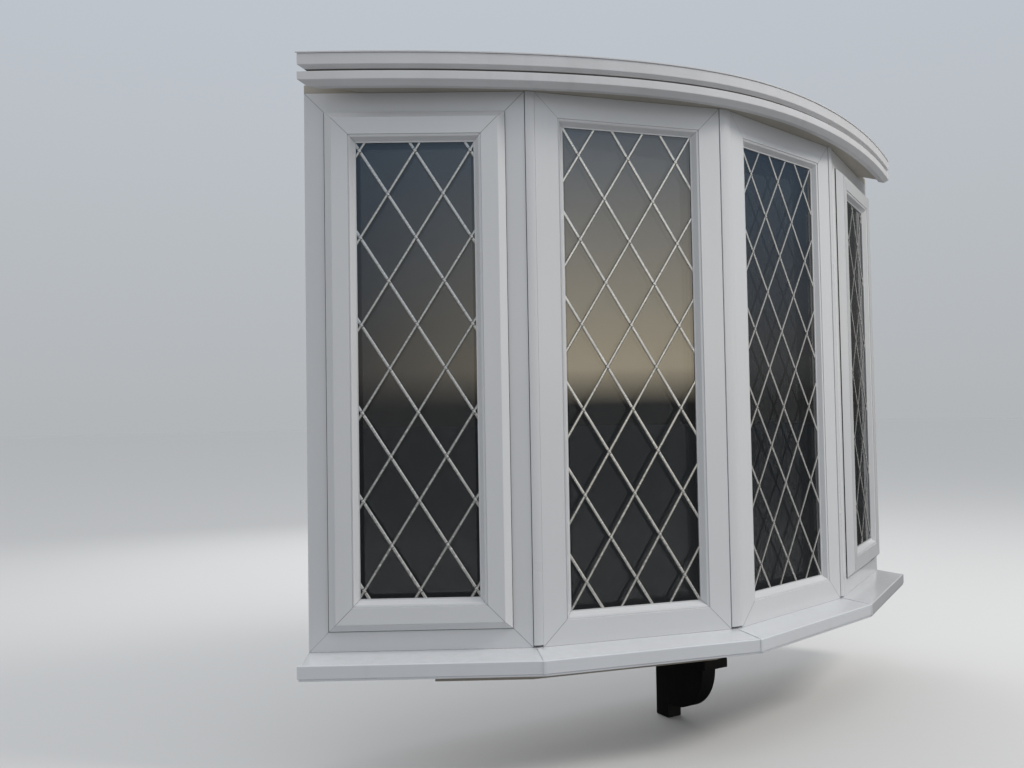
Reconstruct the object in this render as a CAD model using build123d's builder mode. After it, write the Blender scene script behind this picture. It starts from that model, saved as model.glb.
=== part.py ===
from build123d import *
import os
from math import atan2, cos, degrees, hypot, radians, sin, tan

# Leaded bow window of four lights, in millimetres.
# X runs along the wall, Y runs into the wall and the window looks towards -Y.
# The wall's outer face is the plane Y = 0, and the origin is the centre of the
# bracket's back face, which stands on that plane.

# Plan of the bow
INNER_LIGHT_ANGLE = 12.6
OUTER_LIGHT_ANGLE = 28.6
BOW_PROJECTION = 279.0

# Outer frames
FRAME_HEIGHT = 1218.0
OPENING_LIGHT_WIDTH = 484.0
FIXED_LIGHT_WIDTH = 460.0
FRAME_DEPTH = 70.0
INNER_JOINT_GAP = 2.5
FIXED_REBATE_MARGIN = 54.5
OPENING_REBATE_MARGIN = 52.0
OPENING_STOP_WIDTH = 20.0
OPENING_STOP_DEPTH = 16.0

# Casement sashes
SASH_LAP = 8.4
SASH_CLEARANCE = 5.0
SASH_BACK_CLEARANCE = 4.0
SASH_RAIL_WIDTH = 40.0
SASH_FRONT = 19.7
SASH_EDGE = 1.0
SEAL_THICKNESS = 2.5
SEAL_INSET = 2.0
SEAL_WIDTH = 5.0

# Glazing beads
BEAD_WIDTH = 16.2
BEAD_DEPTH = 16.0
BEAD_LAND = 1.5
BEAD_LIP_WIDTH = 2.6
BEAD_LIP_DEPTH = 3.0
BEAD_MITRE_GAP = 0.4
MITRE_ANGLE = 45.0

# Sealed units
PANE_THICKNESS = 4.0
UNIT_THICKNESS = 28.0
UNIT_EDGE_CLEARANCE = 4.0
SPACER_INSET = 3.0
SPACER_SIGHT = 6.0

# Leads
LEAD_WIDTH = 6.8
LEAD_THICKNESS = 1.4
LEAD_CLEARANCE = 0.3
DIAMOND_WIDTH = 121.0
DIAMOND_HEIGHT = 191.5

# Corner posts and their cover strips
POST_SETBACK = 12.0
STRIP_PROUD = 2.0
STRIP_LEFT_GAP = 2.5
STRIP_RIGHT_GAP = 0.5
STRIP_FOOT_GAP = 5.0

# Cill
CILL_BODY_HEIGHT = 25.0
CILL_SEAT_FRONT = 2.0
CILL_PROJECTION = 75.0
CILL_FALL = 8.0
CILL_NOSE_HEIGHT = 31.2
CILL_NOSE_EDGE = 2.0
CILL_LIP_THICKNESS = 7.0
CILL_LIP_STEP = 1.5
CILL_LIP_HEIGHT = 5.0
JOINT_COVER_THICKNESS = 1.2
JOINT_COVER_WIDTH = 10.0
JOINT_COVER_BACK = 4.0

# Cornice, soffit and flat roof
CORNICE_END_OVERHANG = 146.0
CORNICE_CROWN_OVERHANG = 46.7
CORNICE_END_ANGLE = 30.4
CORNICE_THICKNESS = 25.0
CORNICE_CHAMFER = 12.0
CORNICE_RUN_ON = 120.0
LOWER_BAND_HEIGHT = 32.3
UPPER_BAND_HEIGHT = 36.4
BAND_GROOVE_HEIGHT = 2.5
BAND_GROOVE_DEPTH = 8.0
LIP_DROP = 6.7
CORNICE_CLEARANCE = 0.3
HEAD_THICKNESS = 18.0
ROOF_DECK_THICKNESS = 18.0
ROOF_COVER_THICKNESS = 3.0
ROOF_COVER_OVERHANG = 2.0
JOIST_WIDTH = 38.0
JOIST_SPACING = 300.0
JOIST_END_GAP = 5.0

# Base under the frames and the board inside
BASE_BOARD_THICKNESS = 25.0
BASE_BOARD_SETBACK = 60.0
BASE_CORE_THICKNESS = 27.0
BASE_SOFFIT_THICKNESS = 12.0
BASE_CORE_SETBACK = 150.0
BOARD_BACK_MARGIN = 3.0
WINDOW_BOARD_OVERHANG = 15.0
WINDOW_BOARD_ROUND = 9.0

# Bracket
BRACKET_THICKNESS = 42.0
BRACKET_HEIGHT = 155.0
BRACKET_FOOT_REACH = 47.0
BRACKET_FOOT_HEIGHT = 35.0
BRACKET_CURVE_START = 66.0
BRACKET_CURVE_RADIUS = 113.0
BRACKET_PLATE_THICKNESS = 22.0
BRACKET_PLATE_REACH = 205.0
BRACKET_PLATE_OVERHANG = 15.0

# Casement handles
HANDLE_BASE_WIDTH = 26.0
HANDLE_BASE_HEIGHT = 74.0
HANDLE_BASE_DEPTH = 11.0
HANDLE_NECK_RADIUS = 8.0
HANDLE_NECK_LENGTH = 20.0
HANDLE_GRIP_LENGTH = 112.0
HANDLE_GRIP_WIDTH = 19.0
HANDLE_GRIP_DEPTH = 12.0

# Margins in from a light's outer edge
SASH_MARGIN = OPENING_REBATE_MARGIN - SASH_LAP
SASH_BODY_MARGIN = OPENING_REBATE_MARGIN + SASH_CLEARANCE
SASH_REBATE_MARGIN = SASH_BODY_MARGIN + SASH_RAIL_WIDTH
OPENING_STOP_MARGIN = OPENING_REBATE_MARGIN + OPENING_STOP_WIDTH

# Depths in front of a light's outer face, negative behind it
SASH_BACK = OPENING_STOP_DEPTH + SASH_BACK_CLEARANCE - FRAME_DEPTH
BASE_BOARD_FRONT = CILL_PROJECTION - BASE_BOARD_SETBACK
BASE_CORE_FRONT = CILL_PROJECTION - BASE_CORE_SETBACK

# Levels, stacked up from the bracket
BRACKET_TOP_Z = BRACKET_HEIGHT / 2
BASE_SOFFIT_Z = BRACKET_TOP_Z + BRACKET_PLATE_THICKNESS
BASE_CORE_Z = BASE_SOFFIT_Z + BASE_SOFFIT_THICKNESS
BASE_BOARD_Z = BASE_CORE_Z + BASE_CORE_THICKNESS
CILL_BODY_Z = BASE_BOARD_Z + BASE_BOARD_THICKNESS
FRAME_Z = CILL_BODY_Z + CILL_BODY_HEIGHT
HEAD_Z = FRAME_Z + FRAME_HEIGHT
JOIST_Z = HEAD_Z + HEAD_THICKNESS
LOWER_BAND_Z = HEAD_Z - LIP_DROP
UPPER_BAND_Z = LOWER_BAND_Z + LOWER_BAND_HEIGHT
ROOF_Z = UPPER_BAND_Z + UPPER_BAND_HEIGHT
ROOF_DECK_Z = ROOF_Z - ROOF_DECK_THICKNESS

os.makedirs("parts", exist_ok=True)


class Light:
    """One light of the bow: its place in plan, its width and its glazing."""

    def __init__(self, number, start, angle, width, opens):
        self.number = number
        self.start = start
        self.width = width
        self.opens = opens
        self.along = Vector(cos(radians(angle)), sin(radians(angle)), 0)
        self.outward = Vector(sin(radians(angle)), -cos(radians(angle)), 0)
        self.bead_front = SASH_FRONT if opens else 0.0
        self.glass_front = self.bead_front - BEAD_DEPTH
        self.glass_back = self.glass_front - UNIT_THICKNESS
        self.rebate_margin = SASH_REBATE_MARGIN if opens else FIXED_REBATE_MARGIN
        self.sight_margin = self.rebate_margin + BEAD_WIDTH
        self.unit_margin = self.rebate_margin + UNIT_EDGE_CLEARANCE

    def spot(self, s, p):
        """Plan point at distance s along the light and p in front of its face."""
        return self.start + self.along * s + self.outward * p

    def face(self, p=0.0):
        """Plane parallel to the light, p in front of it, X along and Y up."""
        at = self.spot(0, p) + Vector(0, 0, FRAME_Z)
        return Plane(origin=at, x_dir=self.along, z_dir=self.outward)

    def section(self, s):
        """Upright plane across the light at s, its X outwards and its Y up."""
        at = self.spot(s, 0) + Vector(0, 0, FRAME_Z)
        return Plane(origin=at, x_dir=self.outward, z_dir=-self.along)


def joint_width(turn):
    """Width of the joint between two lights at their front faces."""
    return INNER_JOINT_GAP + 2 * FRAME_DEPTH * tan(radians(turn / 2))


def lay_out_lights():
    """The four lights from left to right, set out from the middle joint."""
    half_middle = joint_width(2 * INNER_LIGHT_ANGLE) / 2
    inner_start = Vector(half_middle, -BOW_PROJECTION, 0)
    inner = Light(3, inner_start, INNER_LIGHT_ANGLE, FIXED_LIGHT_WIDTH, False)
    joint_angle = radians((OUTER_LIGHT_ANGLE + INNER_LIGHT_ANGLE) / 2)
    joint = joint_width(OUTER_LIGHT_ANGLE - INNER_LIGHT_ANGLE)
    inner_end = inner.spot(inner.width, 0)
    outer_start = inner_end + Vector(cos(joint_angle), sin(joint_angle), 0) * joint
    outer = Light(4, outer_start, OUTER_LIGHT_ANGLE, OPENING_LIGHT_WIDTH, True)
    outer_end = outer.spot(outer.width, 0)
    left_inner_start = Vector(-inner_end.X, inner_end.Y, 0)
    left_outer_start = Vector(-outer_end.X, outer_end.Y, 0)
    left_inner = Light(2, left_inner_start, -INNER_LIGHT_ANGLE, FIXED_LIGHT_WIDTH, False)
    left_outer = Light(1, left_outer_start, -OUTER_LIGHT_ANGLE, OPENING_LIGHT_WIDTH, True)
    return [left_outer, left_inner, inner, outer]


lights = lay_out_lights()
casements = [light for light in lights if light.opens]
joints = [(lights[0], lights[1]), (lights[1], lights[2]), (lights[2], lights[3])]


def meeting_point(left, right, p):
    """Plan point where two lights' faces, both moved out by p, meet."""
    first = left.spot(0, p)
    span = right.spot(0, p) - first
    across = left.along.X * right.along.Y - left.along.Y * right.along.X
    reach = (span.X * right.along.Y - span.Y * right.along.X) / across
    return first + left.along * reach


def mitre_plane(left, right):
    """Upright plane through the mitre between two lights, facing right."""
    facing = (left.along + right.along).normalized()
    return Plane(origin=meeting_point(left, right, 0), x_dir=(0, 0, 1), z_dir=facing)


def front_line(p):
    """Plan points of the bow's front moved out by p, between its two ends."""
    corners = [meeting_point(left, right, p) for left, right in joints]
    left_end = lights[0].spot(0, p)
    right_end = lights[3].spot(lights[3].width, p)
    return [left_end] + corners + [right_end]


def line_at_wall(p):
    """The same line, ended where it meets the plane of the wall's face."""
    corners = [meeting_point(left, right, p) for left, right in joints]
    start = lights[3].spot(0, p)
    right_end = start + lights[3].along * (-start.Y / lights[3].along.Y)
    return [Vector(-right_end.X, 0, 0)] + corners + [right_end]


# Sizes that follow from the plan of the bow
CORNICE_HALF_SPAN = line_at_wall(0)[-1].X + CORNICE_END_OVERHANG
CORNICE_PROJECTION = CORNICE_CROWN_OVERHANG - meeting_point(lights[1], lights[2], 0).Y
BOARD_BACK_Y = lights[3].spot(lights[3].width, -FRAME_DEPTH).Y + BOARD_BACK_MARGIN


def plan_face(points, mode=Mode.ADD):
    """Face bounded by straight lines between plan points."""
    with BuildLine() as outline:
        Polyline(*[(point.X, point.Y) for point in points], close=True)
    make_face(outline.edges(), mode=mode)


def save(builder, name):
    """Name a finished piece and write it."""
    builder.part.label = name
    export_step(builder.part, f"parts/{name}.step")


def inset_rectangle(light, margin, mode=Mode.ADD):
    """Rectangle within a light's outline, margin in from every edge."""
    with Locations((light.width / 2, FRAME_HEIGHT / 2)):
        Rectangle(light.width - 2 * margin, FRAME_HEIGHT - 2 * margin, mode=mode)


def ring(light, outer_margin, inner_margin, back, front):
    """Rectangular ring between two margins and two depths."""
    with BuildSketch(light.face(back)) as profile:
        inset_rectangle(light, outer_margin)
        inset_rectangle(light, inner_margin, Mode.SUBTRACT)
    extrude(profile.sketch, amount=front - back)


def make_frame(light):
    """Outer frame with a glazing or sash rebate and a stop behind it."""
    if light.opens:
        rebate_margin = OPENING_REBATE_MARGIN
        stop_margin = OPENING_STOP_MARGIN
        stop_front = OPENING_STOP_DEPTH - FRAME_DEPTH
    else:
        rebate_margin = light.rebate_margin
        stop_margin = light.sight_margin
        stop_front = light.glass_back
    with BuildPart() as frame:
        ring(light, 0, rebate_margin, stop_front, 0)
        ring(light, 0, stop_margin, -FRAME_DEPTH, stop_front)
    save(frame, f"frame_{light.number}")


def make_sash(light):
    """Casement sash, its chamfered flange lapping over the frame."""
    with BuildPart() as sash:
        ring(light, SASH_MARGIN, light.rebate_margin, SEAL_THICKNESS, SASH_FRONT)
        front = sash.faces().sort_by(Axis((0, 0, 0), light.outward))[-1]
        chamfer(front.outer_wire().edges(), SASH_FRONT - SEAL_THICKNESS - SASH_EDGE)
        ring(light, SASH_BODY_MARGIN, light.rebate_margin, light.glass_back, SEAL_THICKNESS)
        ring(light, SASH_BODY_MARGIN, light.sight_margin, SASH_BACK, light.glass_back)
    save(sash, f"sash_{light.number}")


def make_sash_seals():
    """Rubber seals between the two sashes and their frames."""
    outer_margin = SASH_MARGIN + SEAL_INSET
    with BuildPart() as seals:
        for light in casements:
            ring(light, outer_margin, outer_margin + SEAL_WIDTH, 0, SEAL_THICKNESS)
    save(seals, "sash_seals")


def make_beads(light):
    """Four glazing beads with a sloping face, a thin lip and cut mitres."""
    with BuildPart() as beads:
        ring(light, light.rebate_margin, light.sight_margin, light.glass_front, light.bead_front)
        with BuildSketch(light.face(light.glass_front + BEAD_LIP_DEPTH)):
            inset_rectangle(light, light.sight_margin - BEAD_LIP_WIDTH)
        with BuildSketch(light.face(light.bead_front)):
            inset_rectangle(light, light.rebate_margin + BEAD_LAND)
        loft(ruled=True, mode=Mode.SUBTRACT)
        near = light.rebate_margin + BEAD_WIDTH / 2
        right = light.width - near
        top = FRAME_HEIGHT - near
        turn = MITRE_ANGLE
        corners = [(near, near, turn), (right, near, -turn), (right, top, turn), (near, top, -turn)]
        with BuildSketch(light.face(light.glass_front)):
            for x, y, turn in corners:
                with Locations((x, y)):
                    Rectangle(2 * BEAD_WIDTH, BEAD_MITRE_GAP, rotation=turn)
        extrude(amount=BEAD_DEPTH, mode=Mode.SUBTRACT)
    save(beads, f"beads_{light.number}")


def make_glass(light):
    """Outer and inner pane of one sealed unit."""
    with BuildPart() as glass:
        for pane_back in (light.glass_front - PANE_THICKNESS, light.glass_back):
            with BuildSketch(light.face(pane_back)):
                inset_rectangle(light, light.unit_margin)
            extrude(amount=PANE_THICKNESS)
    save(glass, f"glass_{light.number}")


def make_spacers():
    """Spacer bars that hold the panes of each unit apart."""
    with BuildPart() as spacers:
        for light in lights:
            outer_margin = light.unit_margin + SPACER_INSET
            inner_margin = light.sight_margin + SPACER_SIGHT
            back = light.glass_back + PANE_THICKNESS
            front = light.glass_front - PANE_THICKNESS
            ring(light, outer_margin, inner_margin, back, front)
    save(spacers, "spacers")


def lead_lattice(light):
    """Diamond lattice of one pane, with a whole diamond at its centre."""
    slope = degrees(atan2(DIAMOND_HEIGHT, DIAMOND_WIDTH))
    margin = light.sight_margin + LEAD_CLEARANCE
    wide = light.width - 2 * margin
    tall = FRAME_HEIGHT - 2 * margin
    half_reach = (wide + tall * DIAMOND_WIDTH / DIAMOND_HEIGHT) / 2
    count = int(half_reach / DIAMOND_WIDTH + 0.5)
    for step in range(-count, count):
        across = light.width / 2 + (step + 0.5) * DIAMOND_WIDTH
        with Locations((across, FRAME_HEIGHT / 2)):
            Rectangle(2 * hypot(wide, tall), LEAD_WIDTH, rotation=slope)
            Rectangle(2 * hypot(wide, tall), LEAD_WIDTH, rotation=-slope)
    inset_rectangle(light, margin, Mode.INTERSECT)


def make_leads(light):
    """Flat leads on the outer and the inner face of one sealed unit."""
    with BuildPart() as leads:
        for lead_back in (light.glass_front, light.glass_back - LEAD_THICKNESS):
            with BuildSketch(light.face(lead_back)):
                lead_lattice(light)
            extrude(amount=LEAD_THICKNESS)
    save(leads, f"leads_{light.number}")


def make_corner_post(left, right):
    """Wedge that couples two neighbouring frames."""
    corners = [
        left.spot(left.width, -POST_SETBACK),
        left.spot(left.width, -FRAME_DEPTH),
        right.spot(0, -FRAME_DEPTH),
        right.spot(0, -POST_SETBACK),
    ]
    with BuildPart() as post:
        with BuildSketch(Plane.XY.offset(FRAME_Z)):
            plan_face(corners)
        extrude(amount=FRAME_HEIGHT)
    save(post, f"corner_post_{left.number}")


def make_cover_strips():
    """Ridged strips on the corner posts, with a shadow gap at their left."""
    height = POST_SETBACK + STRIP_PROUD
    with BuildPart() as strips:
        for left, right in joints:
            left_foot = left.spot(left.width, -POST_SETBACK)
            right_foot = right.spot(0, -POST_SETBACK)
            across = (right_foot - left_foot).normalized()
            left_foot = left_foot + across * STRIP_LEFT_GAP
            right_foot = right_foot - across * STRIP_RIGHT_GAP
            corners = [
                left_foot,
                left_foot + left.outward * height,
                meeting_point(left, right, STRIP_PROUD),
                right_foot + right.outward * height,
                right_foot,
            ]
            with BuildSketch(Plane.XY.offset(FRAME_Z + STRIP_FOOT_GAP)):
                plan_face(corners)
            extrude(amount=FRAME_HEIGHT - STRIP_FOOT_GAP)
    save(strips, "cover_strips")


def make_cill(index):
    """One length of cill, mitred to its neighbours and ended at the wall."""
    light = lights[index]
    past = light.width / 2
    nose = CILL_PROJECTION
    foot = -CILL_FALL - CILL_NOSE_EDGE - CILL_NOSE_HEIGHT
    profile = [
        (-FRAME_DEPTH, 0),
        (CILL_SEAT_FRONT, 0),
        (nose - CILL_NOSE_EDGE, -CILL_FALL),
        (nose, -CILL_FALL - CILL_NOSE_EDGE),
        (nose, foot + CILL_LIP_HEIGHT),
        (nose - CILL_LIP_STEP, foot + CILL_LIP_HEIGHT),
        (nose - CILL_LIP_STEP, foot),
        (nose - CILL_LIP_THICKNESS, foot),
        (nose - CILL_LIP_THICKNESS, -CILL_BODY_HEIGHT),
        (-FRAME_DEPTH, -CILL_BODY_HEIGHT),
    ]
    with BuildPart() as cill:
        with BuildSketch(light.section(light.width + past)):
            with BuildLine():
                Polyline(*profile, close=True)
            make_face()
        extrude(amount=light.width + 2 * past)
        if index > 0:
            split(bisect_by=mitre_plane(lights[index - 1], light), keep=Keep.TOP)
        if index < len(lights) - 1:
            split(bisect_by=mitre_plane(light, lights[index + 1]), keep=Keep.BOTTOM)
        if light.opens:
            # beyond the frame's end, the cill stops at the face of the wall
            end = 0 if index == 0 else light.width
            far = Vector(-light.width if index == 0 else light.width, 0, 0)
            wall_end = light.spot(end, -light.spot(end, 0).Y / light.outward.Y)
            room_end = light.spot(end, -light.width)
            with BuildSketch(Plane.XY.offset(FRAME_Z - CILL_PROJECTION)):
                plan_face([wall_end, room_end, room_end + far, wall_end + far])
            extrude(amount=2 * CILL_PROJECTION, mode=Mode.SUBTRACT)
    save(cill, f"cill_{light.number}")


def make_cill_joint_covers():
    """Thin covers over the cill's three mitres, on its top and its nose."""
    skin = JOINT_COVER_THICKNESS
    nose = CILL_PROJECTION
    corner_z = -CILL_FALL - CILL_NOSE_EDGE
    foot = corner_z - CILL_NOSE_HEIGHT + CILL_LIP_HEIGHT
    back = CILL_SEAT_FRONT + JOINT_COVER_BACK
    back_z = -CILL_FALL * JOINT_COVER_BACK / (nose - CILL_NOSE_EDGE - CILL_SEAT_FRONT)
    profile = [
        (back, back_z),
        (back, back_z + skin),
        (nose - CILL_NOSE_EDGE, skin - CILL_FALL),
        (nose + skin, corner_z),
        (nose + skin, foot),
        (nose, foot),
        (nose, corner_z),
        (nose - CILL_NOSE_EDGE, -CILL_FALL),
    ]
    with BuildPart() as covers:
        with BuildLine():
            Polyline(*[(point.X, point.Y, FRAME_Z) for point in front_line(0)])
        with BuildSketch(lights[0].section(0)):
            with BuildLine():
                Polyline(*profile, close=True)
            make_face()
        sweep(transition=Transition.RIGHT)
        with BuildSketch(Plane.XY.offset(FRAME_Z - nose)):
            for left, right in joints:
                middle = meeting_point(left, right, nose / 2)
                facing = left.along + right.along
                with Locations((middle.X, middle.Y)):
                    turn = degrees(atan2(facing.Y, facing.X))
                    Rectangle(JOINT_COVER_WIDTH, 2 * nose, rotation=turn)
        extrude(amount=2 * nose, mode=Mode.INTERSECT)
    save(covers, "cill_joint_covers")


def cornice_line(level):
    """Line of the cornice's face at one level, run on past the wall's face."""
    rise = radians(CORNICE_END_ANGLE)
    knee = CORNICE_HALF_SPAN - CORNICE_PROJECTION / tan(rise)
    far_x = CORNICE_HALF_SPAN + CORNICE_RUN_ON * cos(rise)
    far_y = CORNICE_RUN_ON * sin(rise)
    with BuildLine(Plane.XY.offset(level)) as line:
        Line((-far_x, far_y), (-CORNICE_HALF_SPAN, 0))
        Bezier((-CORNICE_HALF_SPAN, 0), (-knee, -CORNICE_PROJECTION), (0, -CORNICE_PROJECTION))
        Bezier((0, -CORNICE_PROJECTION), (knee, -CORNICE_PROJECTION), (CORNICE_HALF_SPAN, 0))
        Line((CORNICE_HALF_SPAN, 0), (far_x, far_y))
    return line.wires()[0]


def cornice_section(line):
    """Plane across the cornice at its left end, X inwards and Y up."""
    inwards = Vector(0, 0, 1).cross(line % 0)
    return Plane(origin=line @ 0, x_dir=inwards, z_dir=line % 0)


def cornice_band(profile, bottom):
    """Moulding of one profile, run along the cornice's line to the wall."""
    line = cornice_line(bottom)
    with BuildSketch(cornice_section(line)) as section:
        with BuildLine() as outline:
            Polyline(*profile, close=True)
        make_face(outline.edges())
    sweep(section.sketch, path=line)
    split(bisect_by=Plane.XZ, keep=Keep.TOP)


def trim_to_cornice(set_back, bottom, height):
    """Cut away what lies less than set_back behind the cornice's face."""
    line = cornice_line(bottom)
    with BuildSketch(cornice_section(line)) as section:
        with Locations((0, height / 2)):
            Rectangle(2 * set_back, 2 * height)
    sweep(section.sketch, path=line, mode=Mode.SUBTRACT)


def cornice_plan():
    """Plan of everything behind the cornice's face, up to the wall."""
    face_line = cornice_line(0)
    with BuildSketch() as plan:
        with BuildLine():
            add(face_line.edges())
            Line(face_line @ 1, face_line @ 0)
        make_face()
        split(bisect_by=Plane.XZ, keep=Keep.TOP)
    return plan.sketch


def make_cornice():
    """Lower band, grooved along its top edge, and the upper band on it."""
    groove_z = LOWER_BAND_HEIGHT - BAND_GROOVE_HEIGHT
    lower_profile = [
        (CORNICE_CHAMFER, 0),
        (0, CORNICE_CHAMFER),
        (0, groove_z),
        (BAND_GROOVE_DEPTH, groove_z),
        (BAND_GROOVE_DEPTH, LOWER_BAND_HEIGHT),
        (CORNICE_THICKNESS, LOWER_BAND_HEIGHT),
        (CORNICE_THICKNESS, 0),
    ]
    upper_profile = [
        (CORNICE_CHAMFER, 0),
        (0, CORNICE_CHAMFER),
        (0, UPPER_BAND_HEIGHT),
        (CORNICE_THICKNESS, UPPER_BAND_HEIGHT),
        (CORNICE_THICKNESS, 0),
    ]
    with BuildPart() as lower_band:
        cornice_band(lower_profile, LOWER_BAND_Z)
    save(lower_band, "cornice_lower")
    with BuildPart() as upper_band:
        cornice_band(upper_profile, UPPER_BAND_Z)
    save(upper_band, "cornice_upper")


def board_plan(front):
    """Plan of a board under or over the frames, as far back as the room."""
    outline = front_line(front)
    left_back = lights[0].spot(0, -FRAME_DEPTH)
    right_back = lights[3].spot(lights[3].width, -FRAME_DEPTH)
    right_room = Vector(right_back.X, BOARD_BACK_Y, 0)
    left_room = Vector(left_back.X, BOARD_BACK_Y, 0)
    plan_face(outline + [right_back, right_room, left_room, left_back])


def make_head():
    """Board over the frames and the soffit between it and the cornice."""
    with BuildPart() as head_board:
        with BuildSketch(Plane.XY.offset(HEAD_Z)):
            board_plan(0)
        extrude(amount=HEAD_THICKNESS)
    save(head_board, "head_board")
    whole_plan = cornice_plan()
    with BuildPart() as soffit:
        with BuildSketch(Plane.XY.offset(HEAD_Z)):
            add(whole_plan)
            plan_face(line_at_wall(0), Mode.SUBTRACT)
        extrude(amount=HEAD_THICKNESS)
        trim_to_cornice(CORNICE_THICKNESS + CORNICE_CLEARANCE, HEAD_Z, HEAD_THICKNESS)
    save(soffit, "soffit")


def make_roof():
    """Joists, deck and weathering sheet of the flat roof over the bow."""
    joist_height = ROOF_DECK_Z - JOIST_Z
    count = int(CORNICE_HALF_SPAN / JOIST_SPACING)
    whole_plan = cornice_plan()
    with BuildPart() as joists:
        with BuildSketch(Plane.XY.offset(JOIST_Z)):
            for step in range(-count + 1, count):
                with Locations((step * JOIST_SPACING, 0)):
                    Rectangle(JOIST_WIDTH, 2 * CORNICE_PROJECTION)
            add(whole_plan, mode=Mode.INTERSECT)
        extrude(amount=joist_height)
        trim_to_cornice(CORNICE_THICKNESS + JOIST_END_GAP, JOIST_Z, joist_height)
    save(joists, "roof_joists")
    with BuildPart() as deck:
        with BuildSketch(Plane.XY.offset(ROOF_DECK_Z)):
            add(whole_plan)
        extrude(amount=ROOF_DECK_THICKNESS)
        trim_to_cornice(CORNICE_THICKNESS + CORNICE_CLEARANCE, ROOF_DECK_Z, ROOF_DECK_THICKNESS)
    save(deck, "roof_deck")
    edge_profile = [
        (-ROOF_COVER_OVERHANG, 0),
        (-ROOF_COVER_OVERHANG, ROOF_COVER_THICKNESS),
        (CORNICE_THICKNESS, ROOF_COVER_THICKNESS),
        (CORNICE_THICKNESS, 0),
    ]
    with BuildPart() as cover:
        cornice_band(edge_profile, ROOF_Z)
        with BuildSketch(Plane.XY.offset(ROOF_Z)):
            add(whole_plan)
        extrude(amount=ROOF_COVER_THICKNESS)
    save(cover, "roof_cover")


def make_base():
    """Base board under the cill, with a core and a soffit set back below it."""
    with BuildPart() as base_board:
        with BuildSketch(Plane.XY.offset(BASE_BOARD_Z)):
            board_plan(BASE_BOARD_FRONT)
        extrude(amount=BASE_BOARD_THICKNESS)
    save(base_board, "base_board")
    with BuildPart() as base_core:
        with BuildSketch(Plane.XY.offset(BASE_CORE_Z)):
            plan_face(line_at_wall(BASE_CORE_FRONT))
        extrude(amount=BASE_CORE_THICKNESS)
    save(base_core, "base_core")
    with BuildPart() as base_soffit:
        with BuildSketch(Plane.XY.offset(BASE_SOFFIT_Z)):
            plan_face(line_at_wall(BASE_CORE_FRONT))
        extrude(amount=BASE_SOFFIT_THICKNESS)
    save(base_soffit, "base_soffit")


def make_window_board():
    """Board inside the bow, from the cill to a rounded nosing in the room."""
    outline = front_line(-FRAME_DEPTH)
    nosing_y = BOARD_BACK_Y + WINDOW_BOARD_OVERHANG
    outline.append(Vector(outline[-1].X, nosing_y, 0))
    outline.append(Vector(outline[0].X, nosing_y, 0))
    with BuildPart() as window_board:
        with BuildSketch(Plane.XY.offset(CILL_BODY_Z)):
            plan_face(outline)
        extrude(amount=CILL_BODY_HEIGHT)
        nosing = window_board.edges().filter_by(Axis.X).group_by(Axis.Y)[-1]
        fillet(nosing, WINDOW_BOARD_ROUND)
    save(window_board, "window_board")


def make_bracket():
    """Bracket with a square foot and a quarter-round, and its plate."""
    bottom = -BRACKET_HEIGHT / 2
    foot_top = bottom + BRACKET_FOOT_HEIGHT
    curve_end = (-BRACKET_CURVE_START - BRACKET_CURVE_RADIUS, foot_top + BRACKET_CURVE_RADIUS)
    with BuildPart() as bracket:
        with BuildSketch(Plane.YZ.offset(-BRACKET_THICKNESS / 2)):
            with BuildLine():
                Polyline(
                    (curve_end[0], curve_end[1]),
                    (curve_end[0], BRACKET_TOP_Z),
                    (0, BRACKET_TOP_Z),
                    (0, bottom),
                    (-BRACKET_FOOT_REACH, bottom),
                    (-BRACKET_FOOT_REACH, foot_top),
                    (-BRACKET_CURVE_START, foot_top),
                )
                RadiusArc((-BRACKET_CURVE_START, foot_top), curve_end, BRACKET_CURVE_RADIUS)
            make_face()
        extrude(amount=BRACKET_THICKNESS)
    save(bracket, "bracket")
    plate_width = BRACKET_THICKNESS + 2 * BRACKET_PLATE_OVERHANG
    with BuildPart() as plate:
        with BuildSketch(Plane.XY.offset(BRACKET_TOP_Z)):
            Rectangle(plate_width, BRACKET_PLATE_REACH, align=(Align.CENTER, Align.MAX))
        extrude(amount=BRACKET_PLATE_THICKNESS)
    save(plate, "bracket_plate")


def make_handles():
    """Lever handles on the room side of the two sashes, by the fixed lights."""
    base_back = SASH_BACK - HANDLE_BASE_DEPTH
    neck_back = base_back - HANDLE_NECK_LENGTH
    grip_back = neck_back - HANDLE_GRIP_DEPTH
    rail_middle = (OPENING_STOP_MARGIN + SASH_REBATE_MARGIN + BEAD_WIDTH) / 2
    grip_drop = (HANDLE_GRIP_LENGTH - HANDLE_GRIP_WIDTH) / 2
    middle = FRAME_HEIGHT / 2
    with BuildPart() as handles:
        for light in casements:
            at = light.width - rail_middle if light is lights[0] else rail_middle
            with BuildSketch(light.face(base_back)):
                with Locations((at, middle)):
                    RectangleRounded(HANDLE_BASE_WIDTH, HANDLE_BASE_HEIGHT, HANDLE_BASE_WIDTH / 3)
            extrude(amount=HANDLE_BASE_DEPTH)
            with BuildSketch(light.face(neck_back)):
                with Locations((at, middle)):
                    Circle(HANDLE_NECK_RADIUS)
            extrude(amount=HANDLE_NECK_LENGTH)
            with BuildSketch(light.face(grip_back)):
                with Locations((at, middle - grip_drop)):
                    SlotOverall(HANDLE_GRIP_LENGTH, HANDLE_GRIP_WIDTH, rotation=90)
            extrude(amount=HANDLE_GRIP_DEPTH)
    save(handles, "casement_handles")


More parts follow.
